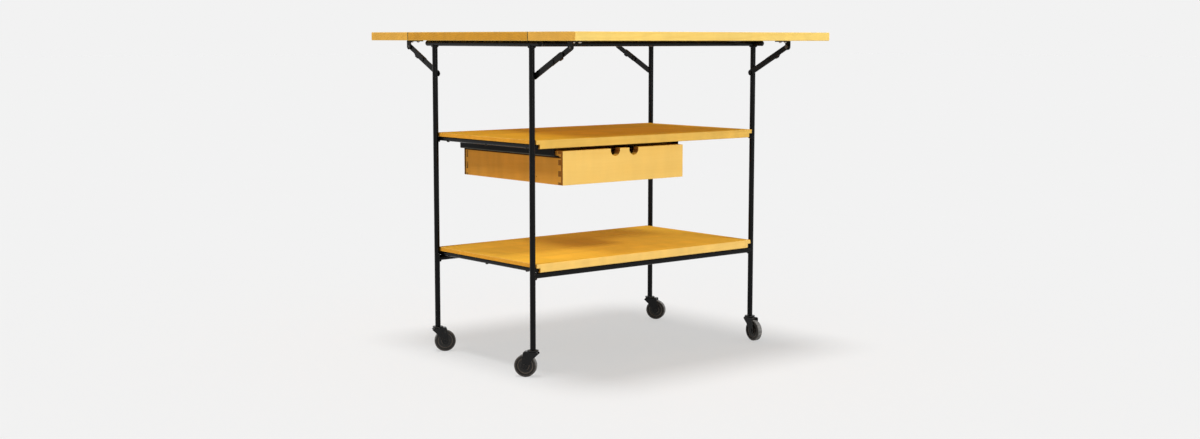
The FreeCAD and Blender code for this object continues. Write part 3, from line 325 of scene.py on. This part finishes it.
    rough = g.math("MULTIPLY_ADD", pores, 0.14, gloss - 0.05)
    rough = g.math("MULTIPLY_ADD", patch, 0.08, rough)
    rough = g.math("MULTIPLY_ADD", is_end, 0.1, rough)
    sight = g.add("ShaderNodeLayerWeight")
    rough = g.math("MULTIPLY_ADD", g.spread(sight.outputs["Facing"], 0.45, 0.8), 0.35, rough)
    height = g.math("MULTIPLY_ADD", fibre, 0.35, g.math("MULTIPLY", pores, 0.65))
    if seam is not None:
        height = g.math("MULTIPLY_ADD", seam, -0.6, height)
    g.set(Base_Color=colour, Roughness=rough,
          Normal=g.bump(height, 0.14, 0.0004, g.soft_edges(0.0008)))
    g.shader.inputs["Specular IOR Level"].default_value = specular
    return g.material


# ---------------------------------------------------------------------------------------------------
# Metals, rubber
# ---------------------------------------------------------------------------------------------------


def painted_steel(name, colour, worn, roughness, seed, specular=0.25, edge=0.6, bands=()):
    """Black paint on steel: orange peel, thinly brushed spots, rubbed edges and a little dust. The lighter
    edges are worn paint and partly a painted highlight; bands are level lines, each with a height, half
    a width and a strength, painted lighter grey as painted highlights."""
    g = Paint(name)
    patch = g.even_noise(22, (seed, 0, 0), detail=4.0)
    peel = g.even_noise(420, detail=2.0)
    fine = g.even_noise(1700, detail=2.0)
    scuff = g.noise(g.mapping(g.position, scale=(140, 140, 60), location=(0, seed, 0)),
                    detail=6.0, roughness=0.7)
    rub = g.spread(scuff, 0.66, 0.74)
    shade = g.tone(colour, g.spread(patch, 0.3, 0.7, 0.75, 1.25))
    mixed = g.mix(g.math("MULTIPLY", rub, 0.55), shade, worn)
    # edges made lighter: worn paint, and partly a painted highlight
    chipped_and_highlight = g.math("MULTIPLY", g.edges(0.0009, 0.03, 0.2), g.spread(scuff, 0.4, 0.62, 0.1, 0.8))
    mixed = g.mix(g.math("MULTIPLY", chipped_and_highlight, edge), mixed, worn)
    wave = g.even_noise(40, (2, 3, seed), detail=2.0)
    level = g.math("MULTIPLY_ADD", wave, 0.002, g.math("SUBTRACT", g.split(g.position)[2], 0.001))
    # painted highlights: narrow level lines made lighter, towards the worn grey
    for centre, half, strength in bands:
        line = g.math("MULTIPLY", g.ridge(level, centre, half), g.spread(wave, 0.3, 0.55, 0.15, 0.45))
        mixed = g.mix(g.math("MULTIPLY", line, strength, clamp=True), mixed, worn)
    rough = g.math("MULTIPLY_ADD", patch, 0.16, roughness - 0.08)
    rough = g.math("MULTIPLY_ADD", rub, 0.12, rough)
    height = g.math("MULTIPLY_ADD", peel, 0.7, g.math("MULTIPLY", fine, 0.3))
    g.set(Base_Color=mixed, Roughness=rough,
          Normal=g.bump(height, 0.12, 0.0003, g.soft_edges(0.0005)))
    g.shader.inputs["Specular IOR Level"].default_value = specular
    return g.material


def bare_steel(name, colour, roughness, seed):
    """Dull plated steel with fine turning marks and stains."""
    g = Paint(name)
    stain = g.even_noise(160, (seed, 0, 0), detail=4.0)
    marks = g.noise(g.mapping(g.position, scale=(900, 900, 3200)), detail=3.0)
    shade = g.math("MULTIPLY", g.spread(stain, 0.3, 0.7, 0.7, 1.15), g.spread(marks, 0.3, 0.7, 0.9, 1.08))
    rough = g.math("MULTIPLY_ADD", marks, 0.2, roughness - 0.1)
    g.set(Base_Color=g.tone(colour, shade), Roughness=rough, Normal=g.bump(marks, 0.15, 0.0002))
    g.shader.inputs["Metallic"].default_value = 1.0
    return g.material


# radius, half a width and strength of the mould rings on a wheel's faces, painted lighter: partly dust,
# partly a painted highlight
MOULD_RINGS = ((0.0088, 0.0011, 1.0), (0.0056, 0.0012, 1.0), (0.0168, 0.0014, 0.9), (0.0226, 0.0008, 0.8))
TREAD_START = 0.0236
TREAD_FULL = 0.0245


def wheel_rubber(name, centre, axle):
    """Hard dark wheel: the tread is greyer and duller than the faces, which have faint mould rings painted
    lighter, partly as dust and partly as a painted highlight.
    """
    g = Paint(name)
    offset = g.add("ShaderNodeVectorMath", operation="SUBTRACT")
    g.feed(offset.inputs[0], g.position)
    offset.inputs[1].default_value = centre
    along = g.add("ShaderNodeVectorMath", operation="DOT_PRODUCT")
    g.feed(along.inputs[0], offset.outputs[0])
    along.inputs[1].default_value = axle
    length = g.add("ShaderNodeVectorMath", operation="LENGTH")
    g.feed(length.inputs[0], offset.outputs[0])
    squared = g.math("SUBTRACT", g.math("POWER", length.outputs["Value"], 2.0),
                     g.math("POWER", along.outputs["Value"], 2.0))
    radius = g.math("SQRT", g.math("MAXIMUM", squared, 0.0))
    tread = g.spread(radius, TREAD_START, TREAD_FULL)
    dust = g.even_noise(130, detail=6.0, roughness=0.65)
    grain = g.even_noise(1500, detail=2.0)
    rings = 0.0
    for at, width, strength in MOULD_RINGS:
        rings = g.math("MAXIMUM", rings, g.math("MULTIPLY", g.ridge(radius, at, width), strength))
    face = g.mix(g.spread(dust, 0.35, 0.7), linear(13, 11, 10), linear(26, 23, 20))
    # the rings painted lighter: dust and a painted highlight
    ring_dust_and_highlight = g.math("MULTIPLY", rings, g.spread(dust, 0.25, 0.6, 0.35, 0.9))
    face = g.mix(ring_dust_and_highlight, face, linear(108, 96, 84))
    worn = g.mix(g.spread(dust, 0.3, 0.7), linear(84, 83, 82), linear(146, 144, 141))
    rough = g.math("MULTIPLY_ADD", tread, 0.25, g.spread(dust, 0.3, 0.7, 0.36, 0.5))
    height = g.math("MULTIPLY_ADD", g.math("SUBTRACT", 1.0, tread), g.math("MULTIPLY", rings, 1.6),
                    g.math("MULTIPLY", grain, 0.25))
    g.set(Base_Color=g.mix(tread, face, worn), Roughness=rough, Normal=g.bump(height, 0.5, 0.0006))
    g.shader.inputs["Specular IOR Level"].default_value = 0.3
    return g.material


TOP_LIGHT = linear(247, 215, 120)
TOP_DARK = linear(238, 197, 98)
FRONT_LIGHT = linear(240, 202, 118)
FRONT_DARK = linear(229, 184, 94)
SHELF_LIGHT = linear(238, 194, 98)
SHELF_DARK = linear(228, 178, 80)
END = linear(222, 154, 50)
PANEL_END = linear(204, 144, 32)
LEAF_END = linear(223, 166, 63)
SIDE_LIGHT = linear(222, 158, 66)
SIDE_DARK = linear(190, 124, 38)
# painted shade: a mild deepening of the top boards' upward faces
TOP_PAINTED_SHADE = (1.0, 0.94, 0.7, 1.0)


# Places of the single marks
SEAM_Y = 0.2286
SIDE_KNOT = (-0.2566, -0.0964, 0.4292)
SIDE_FRONT_Y = -0.1846
SHOULDER_Y = 0.1705
SIDE_JOINTS = ((0.4654, 0.0072), (0.4388, 0.0072), (0.4160, 0.0044))  # height and half a width of each
# height of the painted shade on the drawer side, just under the runner's lip
GROOVE_SHADE_Z = 0.4761
HEEL_Y = 0.1788
BACK_GLUE_Y = 0.1700
FRONT_GLUE_Y = -0.1744
FINGER_TIP_Y = -0.1838
FINGER_Z = [0.42175 + 0.0125 * i for i in range(6)]


def seam_painted_shade(g):
    """Painted shade: dark lines where leaf and centre panel meet, the shadow of the gap between them; the
    faces that meet are only a little darkened.
    """
    y = g.math("ABSOLUTE", g.split(g.position)[1])
    facing = g.math("ABSOLUTE", g.split(g.normal)[1])
    line = g.math("MULTIPLY", g.band(y, SEAM_Y, 0.0012), g.spread(facing, 0.8, 0.95, 1.0, 0.2))
    return [(line, 0.88)]


def heel(g):
    """A dark band across the back corner where a drawer side meets the back."""
    return g.band(g.split(g.position)[1], HEEL_Y, 0.0024), 0.8


def side_marks(g):
    """A knot, painted shade along the groove under the runner's lip, and the dark joints at both ends of a
    drawer side.
    """
    axes = g.split(g.position)
    away = g.add("ShaderNodeVectorMath", operation="DISTANCE")
    g.feed(away.inputs[0], g.position)
    away.inputs[1].default_value = SIDE_KNOT
    knot = g.spread(away.outputs["Value"], 0.0007, 0.0018, 1.0, 0.0)
    front = g.ridge(axes[1], SIDE_FRONT_Y, 0.0012)
    joints = 0.0
    for z, half in SIDE_JOINTS:
        joints = g.math("MAXIMUM", joints, g.band(axes[2], z, half))
    shoulder = g.math("MULTIPLY", g.band(axes[1], SHOULDER_Y, 0.0024), joints)
    groove_shade = g.band(axes[2], GROOVE_SHADE_Z, 0.0011)
    return [(knot, 0.85), (front, 0.55), (shoulder, 0.85), heel(g), (groove_shade, 0.93)]


def back_marks(g):
    """Glue lines round the through fingers of the drawer back."""
    return [(g.ridge(g.split(g.position)[1], BACK_GLUE_Y, 0.0014), 0.35), heel(g)]


def front_marks(g):
    """Glue lines round the half-blind fingers of the drawer front."""
    axes = g.split(g.position)
    out = [(g.ridge(axes[1], FRONT_GLUE_Y, 0.0012), 0.55)]
    for z in FINGER_Z:
        behind_tip = g.math("GREATER_THAN", axes[1], FINGER_TIP_Y)
        out.append((g.math("MULTIPLY", g.ridge(axes[2], z, 0.0012), behind_tip), 0.5))
    return out


def top_wood(name, end, seed, stave):
    return wood(name, 0, 1, TOP_LIGHT, TOP_DARK, end, seed, stave=stave, specular=0.25, top=TOP_PAINTED_SHADE,
                marks=seam_painted_shade)


# height, half a width and strength of the painted highlight lines along the edges of the drawer's runners
RUNNER_HIGHLIGHTS = ((0.4972, 0.0012, 1.2), (0.4790, 0.0018, 4.0))

MATERIALS = {
    "top_panel": top_wood("maple_top", PANEL_END, 0.0, 0.0925),
    "front_leaf": top_wood("maple_front_leaf", LEAF_END, 1.3, 0.081),
    "back_leaf": top_wood("maple_back_leaf", LEAF_END, 2.6, 0.081),
    # painted shade: the shelves' top tints deepen and saturate their upward faces; the lower shelf's under
    # tint darkens and cools its underside, which also cools the light it bounces onto the floor
    "middle_shelf": wood("maple_middle_shelf", 0, 1, SHELF_LIGHT, SHELF_DARK, END, 3.1, stave=0.096,
                         top=(1.08, 0.98, 0.34, 1.0)),
    "lower_shelf": wood("maple_lower_shelf", 0, 1, linear(241, 200, 114), linear(233, 188, 100), END, 4.7,
                        stave=0.096, top=(1.05, 0.9, 0.32, 1.0), under=(0.5, 0.58, 1.1, 1.0)),
    "drawer_front": wood("maple_drawer_front", 0, 2, FRONT_LIGHT, FRONT_DARK, linear(150, 94, 34), 5.2,
                         figure=0.25, mottle=0.6, marks=front_marks),
    "drawer_side": wood("maple_drawer_side", 1, 2, SIDE_LIGHT, SIDE_DARK, linear(150, 100, 48), 6.4,
                        gloss=0.5, figure=0.3, mottle=1.7, marks=side_marks),
    "drawer_back": wood("maple_drawer_back", 0, 2, SIDE_LIGHT, SIDE_DARK, linear(186, 128, 52), 7.7,
                        gloss=0.5, marks=back_marks),
    "drawer_bottom": wood("birch_bottom", 0, 1, linear(226, 190, 138), linear(206, 165, 110),
                          linear(170, 128, 80), 8.8, gloss=0.6, top=(1.0, 0.97, 0.9, 1.0)),
    "frame": painted_steel("black_frame", linear(6, 6, 6), linear(44, 41, 38), 0.22, 0.0, 0.13, 0.0),
    "hardware": painted_steel("black_hardware", linear(9, 9, 8), linear(72, 66, 60), 0.3, 3.0, 0.14),
    "caster": painted_steel("black_caster", linear(8, 8, 8), linear(120, 114, 106), 0.24, 6.0, 0.22, 1.0),
    "runner": painted_steel("black_runner", linear(9, 9, 9), linear(74, 74, 66), 0.42, 9.0, 0.07, 0.5,
                            bands=RUNNER_HIGHLIGHTS),
    "pin": bare_steel("dark_pin", linear(96, 92, 86), 0.42, 0.0),
    "dark_screw": bare_steel("dark_screw", linear(60, 57, 52), 0.42, 1.0),
    "screw": bare_steel("bright_screw", linear(176, 171, 162), 0.26, 2.0),
}


def dress(name, material):
    """Give a CAD node one material."""
    slots = nodes[name].data.materials
    slots.clear()
    slots.append(material)


def material_for(name):
    if name in MATERIALS:
        return MATERIALS[name]
    if name.startswith("drawer_side"):
        return MATERIALS["drawer_side"]
    if name.startswith("runner"):
        return MATERIALS["runner"]
    if name.endswith("_fasteners") or name.startswith("hinge_pins"):
        return MATERIALS["pin"]
    if name.startswith("caster_"):
        return MATERIALS["caster"]
    if name.startswith(("hinge", "leg_link", "leaf_link", "leaf_bracket", "brace")):
        return MATERIALS["hardware"]
    return MATERIALS["frame"]


spins = {joint["child"]: joint for joint in frame["joints"]}
for name in nodes:
    if name.startswith("caster_wheel"):
        joint = spins[name]
        dress(name, wheel_rubber("wheel_" + name, joint["pos_m"], joint["axis"]))
    else:
        dress(name, material_for(name))

# ---------------------------------------------------------------------------------------------------
# Screws
# ---------------------------------------------------------------------------------------------------
HEAD_PROFILE = ((0.4, 0.99), (0.66, 0.93), (0.85, 0.76), (0.96, 0.5), (1.0, 0.22), (1.0, 0.0))
HEAD_SIDES = 28
SLOT_WIDTH = 0.32  # of the radius
SLOT_DEPTH = 0.5  # of the height
SLOT_REACH = 0.88  # of the radius
SHARP_ANGLE = math.radians(32)


def screw_head(radius, height):
    """One slotted head standing on z = 0, as a bmesh."""
    slot = radius * SLOT_WIDTH
    reach = radius * SLOT_REACH
    depth = height * SLOT_DEPTH
    bm = bmesh.new()
    tip = bm.verts.new((0, 0, height))
    last = None
    for out, up in HEAD_PROFILE:
        ring = []
        for i in range(HEAD_SIDES):
            turn = 2 * math.pi * i / HEAD_SIDES
            point = (radius * out * math.cos(turn), radius * out * math.sin(turn), height * up)
            ring.append(bm.verts.new(point))
        for i in range(HEAD_SIDES):
            j = (i + 1) % HEAD_SIDES
            if last is None:
                bm.faces.new((tip, ring[i], ring[j]))
            else:
                bm.faces.new((last[i], ring[i], ring[j], last[j]))
        last = ring
    bm.faces.new(list(reversed(last)))
    for normal, away in (((1, 0, 0), slot / 2), ((0, 1, 0), reach)):
        for way in (-1, 1):
            point = [n * away * way for n in normal]
            geom = bm.verts[:] + bm.edges[:] + bm.faces[:]
            bmesh.ops.bisect_plane(bm, geom=geom, plane_co=point, plane_no=normal)

    # the faces between the cuts go down to the slot's floor
    floor_faces = []
    for face in bm.faces:
        middle = face.calc_center_median()
        inside = abs(middle.x) < slot / 2 and abs(middle.y) < reach
        if inside and face.normal.z > 0.2 and middle.z > height * 0.1:
            floor_faces.append(face)
    made = bmesh.ops.extrude_face_region(bm, geom=floor_faces)
    for vert in (item for item in made["geom"] if isinstance(item, bmesh.types.BMVert)):
        vert.co.z = height - depth
    bmesh.ops.delete(bm, geom=floor_faces, context="FACES")
    return bm


def screws(name, body, places, size, material, seed):
    """Heads at the given points, all facing down, as one piece on a body."""
    head = screw_head(*size)
    bm = bmesh.new()
    stand = Vector((0, 0, -1)).to_track_quat("Z", "Y").to_matrix().to_4x4()
    draw = random.Random(seed)
    for place in places:
        turn = Matrix.Rotation(draw.uniform(0, math.pi), 4, "Z")
        move = Matrix.Translation(place) @ stand @ turn
        fresh = {}
        for vert in head.verts:
            fresh[vert] = bm.verts.new(move @ vert.co)
        for face in head.faces:
            bm.faces.new([fresh[vert] for vert in face.verts])
    head.free()
    mesh = bpy.data.meshes.new(name)
    bmesh.ops.recalc_face_normals(bm, faces=bm.faces[:])
    bm.to_mesh(mesh)
    bm.free()
    mesh.shade_smooth()
    mesh.set_sharp_from_angle(angle=SHARP_ANGLE)
    mesh.materials.append(material)
    obj = bpy.data.objects.new(name, mesh)
    bpy.context.scene.collection.objects.link(obj)
    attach(obj, body)


def both(*values):
    """Each value with either sign."""
    return [sign * value for value in values for sign in (-1, 1)]


# radius and height of the heads
SHELF_HEAD = (0.0038, 0.0032)
BRACKET_HEAD = (0.0035, 0.0029)
HINGE_HEAD = (0.0026, 0.0004)
RUNNER_HEAD = (0.0028, 0.0018)

SHELF_SCREW_Y = (-0.15, 0.0, 0.15)
RAIL_SINK = 0.0012  # from a rail's lowest line up to where its screw heads sit
BRACKET_SCREW_X = (0.31905, 0.30205)
BRACKET_SCREW_Y = 0.3053
BRACKET_FLANGE = 0.0025
HINGE_SCREW_X = (0.219, 0.241)
LEAF_HINGE_Y = 0.2386
FIXED_HINGE_Y = 0.2186
HINGE_PLATE = 0.0015
RUNNER_FLANGE = 0.002
RUNNER_SCREW_IN = 0.0065  # from the flange's outer edge
RUNNER_SCREW_END = 0.03
RUNNER_SCREW_Y = 0.011

low_rail, high_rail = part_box("lower_rail_right")
rail_x = (low_rail[0] + high_rail[0]) / 2
for shelf in ("middle", "lower"):
    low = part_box(shelf + "_rail_right")[0][2] + RAIL_SINK
    screws(shelf + "_shelf_screws", "frame", [(x, y, low) for x in both(rail_x) for y in SHELF_SCREW_Y],
           SHELF_HEAD, MATERIALS["dark_screw"], 3)

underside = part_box("top_panel")[0][2]
flange = underside - BRACKET_FLANGE
plate = underside - HINGE_PLATE
for side, way in (("front", -1), ("back", 1)):
    screws(side + "_bracket_screws", side + "_leaf",
           [(x, way * BRACKET_SCREW_Y, flange) for x in both(*BRACKET_SCREW_X)],
           BRACKET_HEAD, MATERIALS["screw"], 5)
    screws(side + "_leaf_hinge_screws", side + "_leaf",
           [(x, way * LEAF_HINGE_Y, plate) for x in both(*HINGE_SCREW_X)],
           HINGE_HEAD, MATERIALS["pin"], 7)
screws("fixed_hinge_screws", "frame",
       [(x, y, plate) for x in both(*HINGE_SCREW_X) for y in both(FIXED_HINGE_Y)],
       HINGE_HEAD, MATERIALS["pin"], 8)

flange_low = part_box("middle_shelf")[0][2] - RUNNER_FLANGE
for side in ("left", "right"):
    low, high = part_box("runner_" + side)
    outer = low[0] + RUNNER_SCREW_IN if side == "left" else high[0] - RUNNER_SCREW_IN
    rows = (low[1] + RUNNER_SCREW_END, RUNNER_SCREW_Y, high[1] - RUNNER_SCREW_END)
    screws("runner_screws_" + side, "frame", [(outer, y, flange_low) for y in rows],
           RUNNER_HEAD, MATERIALS["dark_screw"], 9)

# ---------------------------------------------------------------------------------------------------
# Stage, light and camera
# ---------------------------------------------------------------------------------------------------
BACKDROP = linear(242, 242, 242)
FLOOR_COLOUR = (0.85, 0.85, 0.85, 1.0)
FLOOR_HALF = 60.0
GLOW_SHARE = 0.55  # how much of the floor that is seen is the backdrop's own colour
HORIZON = 0.82
ZENITH = 0.15

# name, direction of the light, strength, angular size in degrees, whether it lights the floor alone
LAMPS = (
    ("key", (-0.32, 0.95, -1.0), 1.45, 14.0, False),
    ("left", (0.96, 0.0, -1.0), 1.25, 16.0, False),
    ("low", (0.29, 0.96, -0.1), 0.3, 9.0, False),
    ("top", (0.0, 0.0, -1.0), 0.3, 60.0, False),
    ("floor_lamp", (0.08, 0.0, -1.0), 2.12, 18.0, True),
)

# solved from the photograph's edges
CAMERA_PLACE = (-2.3604, -2.8270, 0.7348)
CAMERA_YAW = 0.6976
CAMERA_PITCH = 0.1162
CAMERA_ROLL = 0.0011
CAMERA_LENS = 46.485


def floor():
    """A wide floor that shows the backdrop's colour wherever the light reaches it."""
    mesh = bpy.data.meshes.new("floor")
    half = FLOOR_HALF
    corners = [(-half, -half, 0), (half, -half, 0), (half, half, 0), (-half, half, 0)]
    mesh.from_pydata(corners, [], [(0, 1, 2, 3)])
    obj = bpy.data.objects.new("floor", mesh)
    bpy.context.scene.collection.objects.link(obj)
    g = Paint("floor_paint")
    g.set(Base_Color=g.tone(FLOOR_COLOUR, g.spread(g.even_noise(3, detail=2.0), 0.3, 0.7, 0.998, 1.002)))
    g.shader.inputs["Roughness"].default_value = 1.0
    g.shader.inputs["Specular IOR Level"].default_value = 0.0
    glow = g.add("ShaderNodeEmission")
    glow.inputs["Color"].default_value = BACKDROP
    glow.inputs["Strength"].default_value = 1.0
    share = g.math("MULTIPLY", g.seen(), GLOW_SHARE)
    g.blend(share, g.shader.outputs[0], glow.outputs[0], g.output.inputs["Surface"])
    mesh.materials.append(g.material)
    return obj


def world():
    """Light for the object, stronger from the sides; the camera and reflections see the pale backdrop."""
    made = bpy.data.worlds.new("studio")
    bpy.context.scene.world = made
    made.use_nodes = True
    g = Graph(made.node_tree)
    output = g.add("ShaderNodeOutputWorld")
    light = g.add("ShaderNodeBackground")
    light.inputs["Color"].default_value = (1.0, 1.0, 1.0, 1.0)
    up = g.split(g.coords.outputs["Generated"])[2]
    g.feed(light.inputs["Strength"], g.spread(up, 0.0, 1.0, HORIZON, ZENITH))
    backdrop = g.add("ShaderNodeBackground")
    backdrop.inputs["Color"].default_value = BACKDROP
    backdrop.inputs["Strength"].default_value = 1.0
    g.blend(g.seen(), light.outputs[0], backdrop.outputs[0], output.inputs["Surface"])


def sun(name, direction, strength, angle, lights_ground, ground):
    """A soft distant lamp shining along direction, on the ground alone or on everything else."""
    lamp = bpy.data.lights.new(name, "SUN")
    lamp.energy = strength
    lamp.angle = math.radians(angle)
    obj = bpy.data.objects.new(name, lamp)
    obj.rotation_euler = Vector(direction).to_track_quat("-Z", "Y").to_euler()
    bpy.context.scene.collection.objects.link(obj)
    receivers = bpy.data.collections.new(name + "_receivers")
    receivers.objects.link(ground)
    receivers.collection_objects[0].light_linking.link_state = "INCLUDE" if lights_ground else "EXCLUDE"
    obj.light_linking.receiver_collection = receivers


def camera():
    """Stands where the photograph was taken from."""
    forward = Vector((math.sin(CAMERA_YAW) * math.cos(CAMERA_PITCH),
                      math.cos(CAMERA_YAW) * math.cos(CAMERA_PITCH),
                      -math.sin(CAMERA_PITCH)))
    lens = bpy.data.cameras.new("camera")
    lens.sensor_fit = "HORIZONTAL"
    lens.sensor_width = 36.0
    lens.lens = CAMERA_LENS
    obj = bpy.data.objects.new("camera", lens)
    turn = forward.to_track_quat("-Z", "Y").to_matrix() @ Matrix.Rotation(CAMERA_ROLL, 3, "Z")
    obj.matrix_world = Matrix.Translation(CAMERA_PLACE) @ turn.to_4x4()
    bpy.context.scene.collection.objects.link(obj)
    bpy.context.scene.camera = obj


ground = floor()
world()
for lamp in LAMPS:
    sun(*lamp, ground)
camera()
bpy.context.scene.view_settings.view_transform = "Standard"
